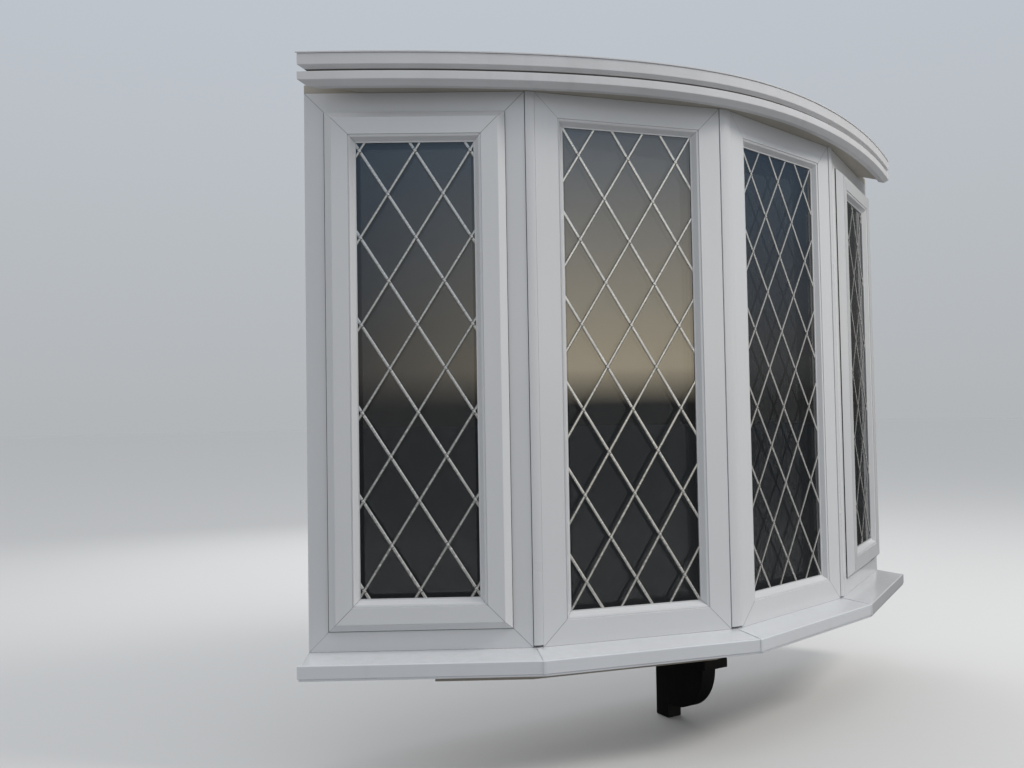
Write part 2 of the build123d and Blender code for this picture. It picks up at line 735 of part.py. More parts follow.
for light in lights:
    make_frame(light)
    make_beads(light)
    make_glass(light)
    make_leads(light)
for light in casements:
    make_sash(light)
for left, right in joints:
    make_corner_post(left, right)
for index in range(len(lights)):
    make_cill(index)
make_sash_seals()
make_handles()
make_spacers()
make_cover_strips()
make_cill_joint_covers()
make_cornice()
make_head()
make_roof()
make_base()
make_window_board()
make_bracket()
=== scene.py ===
"""Dresses a white bow window with four leaded lights, its cill, its curved cornice and its bracket."""
import logging
import math
from dataclasses import dataclass
from enum import Enum
from functools import cache

import bmesh
import bpy
from bmesh.types import BMEdge, BMFace, BMVert
from mathutils import Matrix, Vector


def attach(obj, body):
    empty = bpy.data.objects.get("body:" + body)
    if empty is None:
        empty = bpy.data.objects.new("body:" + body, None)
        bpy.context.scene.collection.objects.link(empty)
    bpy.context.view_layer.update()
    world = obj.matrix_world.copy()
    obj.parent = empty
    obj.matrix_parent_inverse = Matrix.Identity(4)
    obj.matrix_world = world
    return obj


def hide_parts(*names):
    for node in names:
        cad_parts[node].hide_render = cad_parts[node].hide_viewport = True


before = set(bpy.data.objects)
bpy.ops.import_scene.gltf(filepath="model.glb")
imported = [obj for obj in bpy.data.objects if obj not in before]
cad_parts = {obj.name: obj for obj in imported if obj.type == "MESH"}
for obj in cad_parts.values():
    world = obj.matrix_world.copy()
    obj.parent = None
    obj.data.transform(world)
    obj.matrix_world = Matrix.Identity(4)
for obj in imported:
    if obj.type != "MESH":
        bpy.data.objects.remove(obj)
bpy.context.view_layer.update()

MM = 0.001
UP = Vector((0.0, 0.0, 1.0))
# in metres: how near corners are merged, and how near a cut they count as on it
MERGE_REACH = 0.00002
CUT_REACH = 0.000001
# how far from flat, in degrees, the faces of curved or thin boards are still joined
BOARD_FLAT = 0.05
# where a lattice's lines cross a light's middle line, in half diamonds from its middle
LEAD_ROWS = range(-15, 16, 2)
LOG = logging.getLogger("bow_window")

Shape = bmesh.types.BMesh
Socket = bpy.types.NodeSocket
Colour = tuple[float, float, float]
Place = tuple[float, float, float]


class Run(Enum):
    """The way that brush marks or timber grain run on a piece."""

    ALONG = (1.0, 14.0, 14.0)
    INTO = (14.0, 1.0, 14.0)
    UP = (14.0, 14.0, 1.0)


class NodeSheet:
    """Lays out and joins the nodes of one material or of one shared effect."""

    def __init__(self, tree: bpy.types.NodeTree) -> None:
        """Starts with the tree that the nodes go into."""
        self.tree = tree
        self.count = 0

    def add(self, kind: str, **values: object) -> bpy.types.Node:
        """Adds a node and sets it up.

        Args:
            kind: The node's type, such as ShaderNodeBump.
            **values: Properties of the node by name.

        Returns:
            The new node.
        """
        node = self.tree.nodes.new(kind)
        node.location = (220.0 * (self.count % 6), -260.0 * (self.count // 6))
        self.count += 1
        for name, value in values.items():
            setattr(node, name, value)
        return node

    def put(self, node: bpy.types.Node, socket: str | int, value: object) -> None:
        """Sets one input of a node, from a value or from another node's output.

        Args:
            node: The node whose input is set.
            socket: The input's name or number.
            value: A number, a colour or vector, or an output socket to join.
        """
        if isinstance(value, Socket):
            self.tree.links.new(value, node.inputs[socket])
        else:
            node.inputs[socket].default_value = value

    def math(self, kind: str, first: object, second: object) -> Socket:
        """Works out one sum of two values.

        Args:
            kind: The operation, such as MULTIPLY.
            first: A number or an output socket.
            second: A number or an output socket.

        Returns:
            The sum's socket.
        """
        node = self.add("ShaderNodeMath", operation=kind)
        self.put(node, 0, first)
        self.put(node, 1, second)
        return node.outputs[0]

    def spread(self, value: object, low: float, high: float, start: float = 0.0, end: float = 1.0) -> Socket:
        """Stretches a value from one range to another.

        Args:
            value: The output socket to stretch.
            low: The lowest value that comes in.
            high: The highest value that comes in.
            start: What goes out for the lowest.
            end: What goes out for the highest.

        Returns:
            The stretched value's socket.
        """
        node = self.add("ShaderNodeMapRange", clamp=True)
        for socket, number in enumerate((value, low, high, start, end)):
            self.put(node, socket, number)
        return node.outputs[0]

    def mix(self, share: object, first: object, second: object) -> Socket:
        """Mixes two colours.

        Args:
            share: How much of the second colour there is.
            first: A colour or an output socket.
            second: A colour or an output socket.

        Returns:
            The mixed colour's socket.
        """
        node = self.add("ShaderNodeMix", data_type="RGBA")
        self.put(node, 0, share)
        self.put(node, 6, first)
        self.put(node, 7, second)
        return node.outputs[2]

    def noise(self, scale: object, detail: float, stretch: object = (1.0, 1.0, 1.0)) -> Socket:
        """Adds noise that is fixed to the object.

        Args:
            scale: The noise's scale, per metre.
            detail: How many finer layers it has.
            stretch: The scale along each axis.

        Returns:
            The noise's socket.
        """
        place = self.add("ShaderNodeTexCoord")
        mapping = self.add("ShaderNodeMapping")
        self.put(mapping, "Vector", place.outputs["Object"])
        self.put(mapping, "Scale", stretch)
        noise = self.add("ShaderNodeTexNoise")
        self.put(noise, "Vector", mapping.outputs[0])
        self.put(noise, "Scale", scale)
        self.put(noise, "Detail", detail)
        return noise.outputs[0]


def start_group(name: str, inputs: dict[str, object], outputs: dict[str, str]) -> tuple:
    """Starts a shared effect with named inputs and outputs.

    Args:
        name: The effect's name.
        inputs: Each input's default value, which also gives its kind.
        outputs: Each output's socket type.

    Returns:
        The group, its sheet, its input node and its output node.
    """
    group = bpy.data.node_groups.new(name, "ShaderNodeTree")
    kinds = {1: "NodeSocketFloat", 3: "NodeSocketVector", 4: "NodeSocketColor"}
    for label, value in inputs.items():
        size = len(value) if isinstance(value, tuple) else 1
        socket = group.interface.new_socket(name=label, in_out="INPUT", socket_type=kinds[size])
        socket.default_value = value
    for label, kind in outputs.items():
        group.interface.new_socket(name=label, in_out="OUTPUT", socket_type=kind)
    sheet = NodeSheet(group)
    return group, sheet, sheet.add("NodeGroupInput"), sheet.add("NodeGroupOutput")


@cache
def weathering() -> bpy.types.NodeTree:
    """Builds the shared effect of soft blotches, rain streaks and dust on upward faces.

    Returns:
        The group: a colour and a mask of how dirty each place is.
    """
    inputs = {"Clean": (0.8, 0.8, 0.8, 1.0), "Dirt": (0.4, 0.38, 0.34, 1.0), "Blotch": 0.2, "Streak": 0.2}
    inputs |= {"Dust": 0.2, "Scale": 6.0}
    outputs = {"Colour": "NodeSocketColor", "Mask": "NodeSocketFloat"}
    group, sheet, given, result = start_group("weathering", inputs, outputs)
    blotch = sheet.spread(sheet.noise(given.outputs["Scale"], 5.0), 0.42, 0.72)
    streak = sheet.spread(sheet.noise(26.0, 4.0, (1.0, 1.0, 0.06)), 0.52, 0.74)
    streak = sheet.math("MULTIPLY", streak, sheet.spread(sheet.noise(3.0, 2.0), 0.4, 0.65))
    surface = sheet.add("ShaderNodeNewGeometry")
    split = sheet.add("ShaderNodeSeparateXYZ")
    sheet.put(split, 0, surface.outputs["Normal"])
    upward = sheet.spread(split.outputs["Z"], 0.55, 1.0)
    speckle = sheet.spread(sheet.noise(55.0, 6.0), 0.35, 0.7, 0.25, 1.0)
    dust = sheet.math("MULTIPLY", upward, speckle)
    total = sheet.math("MULTIPLY", blotch, given.outputs["Blotch"])
    total = sheet.math("ADD", total, sheet.math("MULTIPLY", streak, given.outputs["Streak"]))
    total = sheet.math("ADD", total, sheet.math("MULTIPLY", dust, given.outputs["Dust"]))
    total = sheet.math("MINIMUM", total, 1.0)
    sheet.put(result, "Colour", sheet.mix(total, given.outputs["Clean"], given.outputs["Dirt"]))
    sheet.put(result, "Mask", total)
    return group


@cache
def brush_marks() -> bpy.types.NodeTree:
    """Builds the shared effect of brushed paint: fine ridges one way and a soft unevenness.

    Returns:
        The group: a height, from 0 to 1.
    """
    inputs = {"Stretch": (1.0, 14.0, 14.0), "Scale": 16.0, "Uneven": 0.5}
    group, sheet, given, result = start_group("brush_marks", inputs, {"Height": "NodeSocketFloat"})
    ridges = sheet.noise(given.outputs["Scale"], 3.0, given.outputs["Stretch"])
    lumps = sheet.math("MULTIPLY", sheet.noise(38.0, 2.0), given.outputs["Uneven"])
    sheet.put(result, "Height", sheet.math("ADD", ridges, lumps))
    return group


@cache
def timber_grain() -> bpy.types.NodeTree:
    """Builds the shared effect of sawn timber: growth rings along the grain, and pores.

    Returns:
        The group: a colour and a height.
    """
    inputs = {"Early": (0.62, 0.47, 0.3, 1.0), "Late": (0.38, 0.25, 0.14, 1.0), "Stretch": (1.0, 14.0, 14.0)}
    outputs = {"Colour": "NodeSocketColor", "Height": "NodeSocketFloat"}
    group, sheet, given, result = start_group("timber_grain", inputs, outputs)
    rings = sheet.noise(3.2, 4.0, given.outputs["Stretch"])
    bands = sheet.math("FRACT", sheet.math("MULTIPLY", rings, 9.0), 0.0)
    bands = sheet.spread(bands, 0.0, 1.0, 0.0, 0.75)
    pores = sheet.spread(sheet.noise(46.0, 3.0, given.outputs["Stretch"]), 0.5, 0.62)
    share = sheet.math("ADD", bands, sheet.math("MULTIPLY", pores, 0.3))
    share = sheet.math("MINIMUM", share, 1.0)
    sheet.put(result, "Colour", sheet.mix(share, given.outputs["Early"], given.outputs["Late"]))
    sheet.put(result, "Height", sheet.math("SUBTRACT", 1.0, share))
    return group


def rgba(colour: Colour) -> tuple[float, float, float, float]:
    """Gives a colour its fourth, opaque value."""
    return (*colour, 1.0)


def new_material(name: str) -> tuple[bpy.types.Material, NodeSheet, bpy.types.Node]:
    """Starts a material with an empty sheet and one Principled shader.

    Args:
        name: The material's name.

    Returns:
        The material, its sheet and its shader node.
    """
    material = bpy.data.materials.new(name)
    material.use_nodes = True
    material.node_tree.nodes.clear()
    sheet = NodeSheet(material.node_tree)
    output = sheet.add("ShaderNodeOutputMaterial")
    shader = sheet.add("ShaderNodeBsdfPrincipled")
    sheet.put(output, "Surface", shader.outputs[0])
    return material, sheet, shader


def effect(sheet: NodeSheet, group: bpy.types.NodeTree, **values: object) -> bpy.types.Node:
    """Places a shared effect in a material with its own values.

    Args:
        sheet: The material's sheet.
        group: The shared effect.
        **values: What goes into its inputs.

    Returns:
        The node that stands for the effect.
    """
    node = sheet.add("ShaderNodeGroup", node_tree=group)
    for name, value in values.items():
        sheet.put(node, name, value)
    return node


def relief(sheet: NodeSheet, shader: bpy.types.Node, height: object, depth: float, strength: float) -> None:
    """Joins a height to a shader as relief.

    Args:
        sheet: The material's sheet.
        shader: The shader that gets the relief.
        height: The output socket of the height.
        depth: How deep the relief is, in metres.
        strength: How much of it shows.
    """
    bump = sheet.add("ShaderNodeBump")
    sheet.put(bump, "Height", height)
    sheet.put(bump, "Distance", depth)
    sheet.put(bump, "Strength", strength)
    sheet.put(shader, "Normal", bump.outputs[0])


@dataclass(frozen=True)
class WornFinish:
    """A finish whose colour goes from clean to dirty as the weathering effect says."""

    name: str
    slot: str
    clean: Colour
    dirt: Colour
    roughness: float = 0.5
    blotch: float = 0.2
    streak: float = 0.2
    dust: float = 0.2
    scale: float = 6.0

    def start(self) -> tuple:
        """Starts the material and gives it, its sheet, its shader and the socket of how dirty it is."""
        material, sheet, shader = new_material(self.name)
        wear = {"Blotch": self.blotch, "Streak": self.streak, "Dust": self.dust, "Scale": self.scale}
        weather = effect(sheet, weathering(), Clean=rgba(self.clean), Dirt=rgba(self.dirt), **wear)
        sheet.put(shader, "Base Color", weather.outputs["Colour"])
        return material, sheet, shader, weather.outputs["Mask"]


@dataclass(frozen=True)
class PlasticFinish(WornFinish):
    """Smooth extruded plastic, with the dirt that rain and dust leave on it."""

    roughness: float = 0.22
    blotch: float = 0.015
    streak: float = 0.03
    dust: float = 0.1
    coat: float = 0.3

    def material(self) -> bpy.types.Material:
        """Builds the material."""
        material, sheet, shader, mask = self.start()
        uneven = sheet.spread(sheet.noise(5.0, 2.0), 0.2, 0.8, self.roughness, self.roughness + 0.05)
        dull = sheet.math("MULTIPLY", mask, 0.4)
        sheet.put(shader, "Roughness", sheet.math("ADD", uneven, dull))
        sheet.put(shader, "Coat Weight", self.coat)
        sheet.put(shader, "Coat Roughness", 0.12)
        relief(sheet, shader, sheet.noise(36.0, 1.0), 0.0001, 0.1)
        return material


@dataclass(frozen=True)
class PaintFinish(WornFinish):
    """Timber in brushed paint, with the grain just showing through and dirt where rain runs."""

    roughness: float = 0.35
    blotch: float = 0.15
    dust: float = 0.4
    scale: float = 9.0
    run: Run = Run.ALONG
    depth: float = 0.0004

    def material(self) -> bpy.types.Material:
        """Builds the material."""
        material, sheet, shader, mask = self.start()
        marks = effect(sheet, brush_marks(), Stretch=self.run.value)
        rough = sheet.spread(marks.outputs["Height"], 0.4, 1.0, self.roughness, self.roughness + 0.15)
        dull = sheet.math("MULTIPLY", mask, 0.3)
        sheet.put(shader, "Roughness", sheet.math("ADD", rough, dull))
        relief(sheet, shader, marks.outputs["Height"], self.depth, 0.6)
        return material


@dataclass(frozen=True)
class TimberFinish:
    """Bare sawn timber or plywood."""

    name: str
    slot: str
    early: Colour
    late: Colour
    run: Run = Run.ALONG

    def material(self) -> bpy.types.Material:
        """Builds the material."""
        material, sheet, shader = new_material(self.name)
        grain = effect(
            sheet, timber_grain(), Early=rgba(self.early), Late=rgba(self.late), Stretch=self.run.value
        )
        sheet.put(shader, "Base Color", grain.outputs["Colour"])
        sheet.put(shader, "Roughness", sheet.spread(grain.outputs["Height"], 0.0, 1.0, 0.75, 0.6))
        relief(sheet, shader, grain.outputs["Height"], 0.0006, 0.7)
        return material


@dataclass(frozen=True)
class MetalFinish(WornFinish):
    """Soft metal strip or sheet: dull in blotches, with fine scratches."""

    roughness: float = 0.34
    blotch: float = 0.8
    streak: float = 0.25
    dust: float = 0.3
    scale: float = 60.0
    metallic: float = 0.75
    depth: float = 0.0003

    def material(self) -> bpy.types.Material:
        """Builds the material."""
        material, sheet, shader, mask = self.start()
        sheet.put(shader, "Metallic", self.metallic)
        rough = sheet.spread(mask, 0.0, 1.0, self.roughness, self.roughness + 0.25)
        sheet.put(shader, "Roughness", rough)
        relief(sheet, shader, sheet.noise(240.0, 3.0), self.depth, 0.6)
        return material


@dataclass(frozen=True)
class RubberFinish(WornFinish):
    """Black rubber or spacer bar, slightly dusty."""

    roughness: float = 0.55
    blotch: float = 0.25
    streak: float = 0.1
    dust: float = 0.5

    def material(self) -> bpy.types.Material:
        """Builds the material."""
        material, sheet, shader, mask = self.start()
        rough = sheet.spread(mask, 0.0, 1.0, self.roughness, self.roughness + 0.3)
        sheet.put(shader, "Roughness", rough)
        relief(sheet, shader, sheet.noise(400.0, 2.0), 0.0002, 0.5)
        return material


@dataclass(frozen=True)
class GlassFinish(WornFinish):
    """A pane of double glazing with an unlit room behind it, faintly marked by rain."""

    blotch: float = 0.0
    streak: float = 0.12
    dust: float = 0.0
    cover: float = 0.6
    pane_index: float = 2.5
    coat_index: float = 2.0

    def material(self) -> bpy.types.Material:
        """Builds the material."""
        material, sheet, shader, mask = self.start()
        sheet.put(shader, "Roughness", sheet.spread(mask, 0.0, 1.0, 0.0, 0.06))
        sheet.put(shader, "IOR", self.pane_index)
        sheet.put(shader, "Coat Weight", 1.0)
        sheet.put(shader, "Coat Roughness", 0.0)
        sheet.put(shader, "Coat IOR", self.coat_index)
        sheet.put(shader, "Alpha", self.cover)
        material.surface_render_method = "BLENDED"
        return material


SOIL = (0.33, 0.31, 0.27)
GREY_DUST = (0.12, 0.12, 0.12)
STOCK = (
    PlasticFinish("white_upvc", "white_upvc", (0.66, 0.668, 0.682), SOIL),
    PlasticFinish(
        "weld_line", "white_upvc", (0.3, 0.31, 0.32), (0.12, 0.12, 0.11), roughness=0.4, blotch=0.3
    ),
    PlasticFinish("white_bead", "white_bead", (0.64, 0.648, 0.662), SOIL, roughness=0.26),
    PlasticFinish(
        "white_cill", "white_cill", (0.66, 0.675, 0.7), SOIL,
        roughness=0.14, blotch=0.03, streak=0.06, dust=0.12, coat=0.5,
    ),
    PlasticFinish(
        "enamel", "handle_white", (0.7, 0.7, 0.69), SOIL,
        roughness=0.2, blotch=0.05, streak=0.0, dust=0.2, coat=0.6,
    ),
    PaintFinish("cornice_paint", "white_paint", (0.63, 0.632, 0.645), (0.36, 0.35, 0.34)),
    # near-black coat for the cornice groove: painted shade of the contact shadow where the upper band meets
    # the lower
    PaintFinish("groove_painted_shade", "white_paint", (0.14, 0.13, 0.12), (0.07, 0.065, 0.06)),
    PaintFinish("soffit_paint", "soffit_paint", (0.42, 0.39, 0.34), (0.22, 0.2, 0.16), roughness=0.5),
    PaintFinish("board_paint", "board_gloss", (0.62, 0.61, 0.58), (0.4, 0.38, 0.33), roughness=0.3),
    PaintFinish(
        "black_gloss", "black_paint", (0.004, 0.004, 0.005), (0.02, 0.018, 0.016),
        roughness=0.42, blotch=0.2, dust=0.3, run=Run.UP,
    ),
    TimberFinish("sawn_timber", "plain_timber", (0.5, 0.36, 0.21), (0.33, 0.21, 0.11), Run.INTO),
    TimberFinish("plywood", "plain_timber", (0.52, 0.39, 0.24), (0.37, 0.25, 0.14)),
    MetalFinish(
        "roof_sheet", "roof_sheet", (0.36, 0.365, 0.37), (0.27, 0.27, 0.275),
        metallic=0.2, roughness=0.5, scale=4.0, blotch=0.3,
    ),
    MetalFinish(
        "outer_lead", "lead_strip", (0.92, 0.91, 0.88), (0.7, 0.68, 0.64),
        metallic=0.65, roughness=0.24, blotch=0.6,
    ),
    # the inner lattice is the same lead as the outer, made darker: painted shade of the room side
    MetalFinish(
        "inner_lead_painted_shade", "lead_strip", (0.55, 0.54, 0.51), (0.34, 0.33, 0.31), metallic=0.7, roughness=0.4
    ),
    # dark coat for the strips' steep sides and lap ramps: painted shade along their edges and under the laps
    MetalFinish(
        "lead_edge_painted_shade", "lead_strip", (0.15, 0.145, 0.135), (0.08, 0.08, 0.075),
        metallic=0.3, roughness=0.5,
    ),
    RubberFinish("spacer_bar", "black_spacer", (0.012, 0.012, 0.013), GREY_DUST),
    RubberFinish("weather_seal", "black_rubber", (0.015, 0.015, 0.015), GREY_DUST),
    GlassFinish("pane", "clear_glass", (0.008, 0.01, 0.012), (0.05, 0.052, 0.05)),
)


class Finishes:
    """Every finish of the window, each built once."""

    def __init__(self) -> None:
        """Builds the materials."""
        self.materials = {finish.name: finish.material() for finish in STOCK}
        self.slots = {finish.name: finish.slot for finish in STOCK}


@cache
def finishes() -> Finishes:
    """Gives the finishes, built on the first call."""
    return Finishes()


def shape_of(node: str, flat: float = 0.3) -> Shape:
    """Copies a CAD node's shape, with its loose triangles merged into whole faces.

    Args:
        node: The node's name.
        flat: How far from flat, in degrees, faces may be and still be joined.

    Returns:
        The merged copy.
    """
    shape = bmesh.new()
    shape.from_mesh(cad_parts[node].data)
    bmesh.ops.remove_doubles(shape, verts=shape.verts, dist=MERGE_REACH)
    bmesh.ops.dissolve_limit(shape, angle_limit=math.radians(flat), verts=shape.verts, edges=shape.edges)
    return shape


def ease_edges(shape: Shape, width: float, segments: int = 2, angle: float = 30.0) -> None:
    """Rounds a shape's sharp edges.

    Args:
        shape: The mesh to work on.
        width: The width of the rounding, in metres.
        segments: How many strips it has.
        angle: How sharp, in degrees, an edge is that gets it.
    """
    limit = math.radians(angle)
    sharp = [e for e in shape.edges if len(e.link_faces) == 2 and e.calc_face_angle(0.0) > limit]
    bmesh.ops.bevel(
        shape, geom=sharp, offset=width, offset_type="OFFSET", segments=segments,
        profile=0.5, affect="EDGES", material=-1, clamp_overlap=True,
    )


def pick(found: list, kind: type) -> list:
    """Picks the parts of one kind, such as edges, out of a mesh operator's result."""
    return [part for part in found if isinstance(part, kind)]


def cut_plane(
    shape: Shape, place: Vector, way: Vector, geom: list | None = None, clear: bool = False
) -> list:
    """Cuts a shape along a plane.

    Args:
        shape: The mesh to cut.
        place: A point of the plane, in metres.
        way: The direction across the plane.
        geom: What is cut, where it isn't the whole shape.
        clear: Whether what lies beyond the plane goes.

    Returns:
        The vertices and edges of the cut.
    """
    if geom is None:
        geom = list(shape.verts) + list(shape.edges) + list(shape.faces)
    cut = bmesh.ops.bisect_plane(
        shape, geom=geom, dist=CUT_REACH, plane_co=place, plane_no=way, clear_outer=clear
    )
    return cut["geom_cut"]


def finish_piece(
    shape: Shape, name: str, coats: list[str], nodes: list[str], crease: float = 50.0
) -> None:
    """Turns a finished shape into a piece of the window.

    Args:
        shape: The mesh, which is freed.
        name: The piece's name.
        coats: The finishes in the order of the faces' material numbers.
        nodes: The CAD nodes that the piece stands for.
        crease: The angle in degrees past which an edge stays crisp.
    """
    shape.normal_update()
    for face in shape.faces:
        face.smooth = True
    limit = math.radians(crease)
    for edge in shape.edges:
        edge.smooth = len(edge.link_faces) == 2 and edge.calc_face_angle(0.0) < limit
    mesh = bpy.data.meshes.new(name)
    shape.to_mesh(mesh)
    shape.free()
    piece = bpy.data.objects.new(name, mesh)
    bpy.context.scene.collection.objects.link(piece)
    for coat in coats:
        mesh.materials.append(finishes().materials[coat])
    even = piece.modifiers.new("even_shading", "WEIGHTED_NORMAL")
    even.keep_sharp = True
    even.weight = 100
    finishes().slots[coats[0]]
    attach(piece, "root")
    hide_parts(*nodes)


def dress(
    node: str, name: str, coat: str, width: float, segments: int = 2, angle: float = 30.0,
    crease: float = 50.0, flat: float = 0.3,
) -> None:
    """Dresses a piece that only gets eased edges.

    Args:
        node: The CAD node that it stands for.
        name: The piece's name.
        coat: Its finish.
        width: The width of the rounding, in millimetres.
        segments: How many strips it has.
        angle: How sharp, in degrees, an edge is that gets it.
        crease: The angle in degrees past which an edge stays crisp.
        flat: How far from flat, in degrees, faces may be and still be joined.
    """
    shape = shape_of(node, flat)
    ease_edges(shape, width * MM, segments, angle)
    finish_piece(shape, name, [coat], [node], crease)


def paint_node(node: str, coat: str) -> None:
    """Gives a CAD node that stays a better material.

    Args:
        node: The node's name.
        coat: The finish's name.
    """
    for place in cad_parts[node].material_slots:
        place.material = finishes().materials[coat]


@dataclass(frozen=True)
class LeadStrip:
    """The crowned section of a lead strip and the hump where one laps over another, in millimetres.

    The shortest strip and the overrun are counted in crossings, and the limits tell the faces that get
    painted shade.
    """

    width: float = 6.8
    crown: float = 1.4
    clearance: float = 0.3
    lap_rise: float = 1.0
    lap_flat: float = 3.6
    lap_ramp: float = 2.0
    shortest: float = 0.08
    overrun: float = 0.15
    side_limit: float = 0.8
    ramp_limit: float = 0.25
    rim_shares: tuple[tuple[float, float], ...] = ((1.0, 0.0), (0.87, 0.62), (0.56, 0.92))

    def section(self) -> list[tuple[float, float]]:
        """Gives the section's points as places across the strip and heights above the glass."""
        half = self.width / 2
        rim = [(half * across, self.crown * height) for across, height in self.rim_shares]
        return rim + [(0.0, self.crown)] + [(-across, height) for across, height in reversed(rim)]


@dataclass
class LightUnit:
    """One light of the bow: its frame, its beads, its glazing and its leads."""

    number: int
    start: tuple[float, float]
    turn: float
    width: float
    foot: float = 188.5
    height: float = 1218.0
    sash_margin: float = 43.6
    sight_margin: float = 70.7
    glass_front: float = -16.0
    diamond: tuple[float, float] = (121.0, 191.5)
    glazing_depth: float = 28.0
    bead_width: float = 16.2
    bead_land: float = 1.5
    bead_lip: float = 2.6
    bead_drop: float = 13.0
    bead_step: float = 1.8
    bead_crown: float = 3.4
    bead_strips: int = 6
    bead_ease: float = 0.4
    near_margin: float = 0.1
    near_depth: float = 0.3
    ease: float = 1.0
    weld: float = 0.6
    weld_depth: float = 0.4
    weld_area: float = 0.002
    strip: LeadStrip = LeadStrip()

    def along(self) -> Vector:
        """Gives the direction from the light's start to its end."""
        angle = math.radians(self.turn)
        return Vector((math.cos(angle), math.sin(angle), 0.0))

    def outward(self) -> Vector:
        """Gives the direction out of the light's face."""
        angle = math.radians(self.turn)
        return Vector((math.sin(angle), -math.cos(angle), 0.0))

    def spot(self, across: float, up: float, out: float = 0.0) -> Vector:
        """Gives a point of the light.

        Args:
            across: How far along the light's foot, in millimetres.
            up: How far above its foot.
            out: How far in front of its face.

        Returns:
            The point, in metres.
        """
        foot = Vector((self.start[0], self.start[1], self.foot + up))
        return (foot + self.along() * across + self.outward() * out) * MM

    def middle(self) -> Vector:
        """Gives the middle of the light's face."""
        return self.spot(self.width / 2, self.height / 2)

    def depth_of(self, point: Vector) -> float:
        """Gives how far in front of the light's face a point is, in millimetres."""
        return (point - self.spot(0.0, 0.0)).dot(self.outward()) / MM

    def margin_of(self, point: Vector) -> float:
        """Gives how far inside the light's nearest outer edge a point is, in millimetres."""
        place = (point - self.spot(0.0, 0.0)) / MM
        across = place.dot(self.along())
        return min(across, self.width - across, place.z, self.height - place.z)

    def cut_ring(self, shape: Shape, margin: float, trim: bool = False) -> None:
        """Cuts a rectangle of edges into a shape, to move or clear what lies outside it.

        Args:
            shape: The mesh to cut.
            margin: How far the rectangle is inside the light's outer edge, in millimetres.
            trim: Whether what lies outside goes and the cuts are closed.
        """
        low = self.spot(margin, margin)
        high = self.spot(self.width - margin, self.height - margin)
        for place, way in ((low, -self.along()), (high, self.along()), (low, -UP), (high, UP)):
            cut = cut_plane(shape, place, way, clear=trim)
            if trim:
                bmesh.ops.edgeloop_fill(shape, edges=pick(cut, BMEdge))

    def score_welds(self, shape: Shape, margin: float) -> None:
        """Presses the hairline of a welded mitre into each corner of a rectangular ring.

        Args:
            shape: The ring's mesh.
            margin: How far the ring's outer edge is inside the light's, in millimetres.
        """
        for normal in (self.along(), UP):
            cut_plane(shape, self.middle(), normal)
        for side in (0, 1):
            for top in (0, 1):
                self.score_corner(shape, margin, side, top)

    def score_corner(self, shape: Shape, margin: float, side: int, top: int) -> None:
        """Presses one corner's weld line in.

        Args:
            shape: The ring's mesh.
            margin: How far the ring's outer edge is inside the light's, in millimetres.
            side: 0 at the light's start and 1 at its end.
            top: 0 at its foot and 1 at its head.
        """
        across = self.width - margin if side else margin
        up = self.height - margin if top else margin
        corner = self.spot(across, up)
        middle = self.middle()
        slope = 1.0 if side == top else -1.0
        normal = (self.along() - UP * slope).normalized()

        def near(face: BMFace) -> bool:
            """Tells whether a face is in this corner's quarter of the ring."""
            place = face.calc_center_median() - middle
            return (place.dot(self.along()) > 0) == bool(side) and (place.z > 0) == bool(top)

        line = []
        for shift in (-self.weld, self.weld, 0.0):
            faces = [f for f in shape.faces if near(f)]
            edges = list({e for f in faces for e in f.edges})
            verts = list({v for f in faces for v in f.verts})
            cut = cut_plane(shape, corner + normal * shift * MM, normal, verts + edges + faces)
            line = pick(cut, BMVert)
        shape.normal_update()
        moves = [(v, v.normal.copy()) for v in line]
        for vert, way in moves:
            vert.co -= way * self.weld_depth * MM
            for face in vert.link_faces:
                apart = abs((face.calc_center_median() - corner).dot(normal))
                if face.calc_area() < self.weld_area and apart < self.weld * MM:
                    face.material_index = 1

    def build_frame(self) -> None:
        """Builds the outer frame, with eased edges and welded corners."""
        shape = shape_of(f"frame_{self.number}")
        ease_edges(shape, self.ease * MM)
        self.score_welds(shape, 0.0)
        coats = ["white_upvc", "weld_line"]
        finish_piece(shape, f"outer_frame_{self.number}", coats, [f"frame_{self.number}"])

    def build_beads(self) -> None:
        """Builds the four mitred glazing beads: a sunk land, a crowned slope and a thin lip."""
        shape = shape_of(f"beads_{self.number}")
        front = max(self.depth_of(v.co) for v in shape.verts)
        crest = self.sight_margin - self.bead_width + self.bead_land
        foot = self.sight_margin - self.bead_lip
        for strip in range(1, self.bead_strips):
            share = strip / self.bead_strips
            margin = crest + (foot - crest) * share
            self.cut_ring(shape, margin)
            level = front - self.bead_drop * share
            for vert in shape.verts:
                aside = abs(self.margin_of(vert.co) - margin)
                if aside < self.near_margin and abs(self.depth_of(vert.co) - level) < self.near_depth:
                    vert.co += self.outward() * self.bead_crown * 4 * share * (1 - share) * MM
        land = [v for v in shape.verts if self.depth_of(v.co) > front - self.near_depth]
        bmesh.ops.translate(shape, verts=land, vec=self.outward() * -self.bead_step * MM)
        ease_edges(shape, self.bead_ease * MM, 2, 35.0)
        finish_piece(shape, f"glazing_beads_{self.number}", ["white_bead"], [f"beads_{self.number}"], 28.0)

    def reach(self, row: int, lean: int) -> tuple[float, float]:
        """Works out where a lead's line enters and leaves the sight opening, counted in crossings.

        Args:
            row: The line's place up the light, an odd number of half diamonds.
            lean: 1 where the line rises to the light's end and -1 where it falls.

        Returns:
            The lowest and highest count; the first is larger where the line misses the opening.
        """
        side = (self.width - 2 * self.sight_margin) / self.diamond[0]
        top = (self.height - 2 * self.sight_margin) / self.diamond[1]
        return max(-side, -lean * row - top), min(side, -lean * row + top)

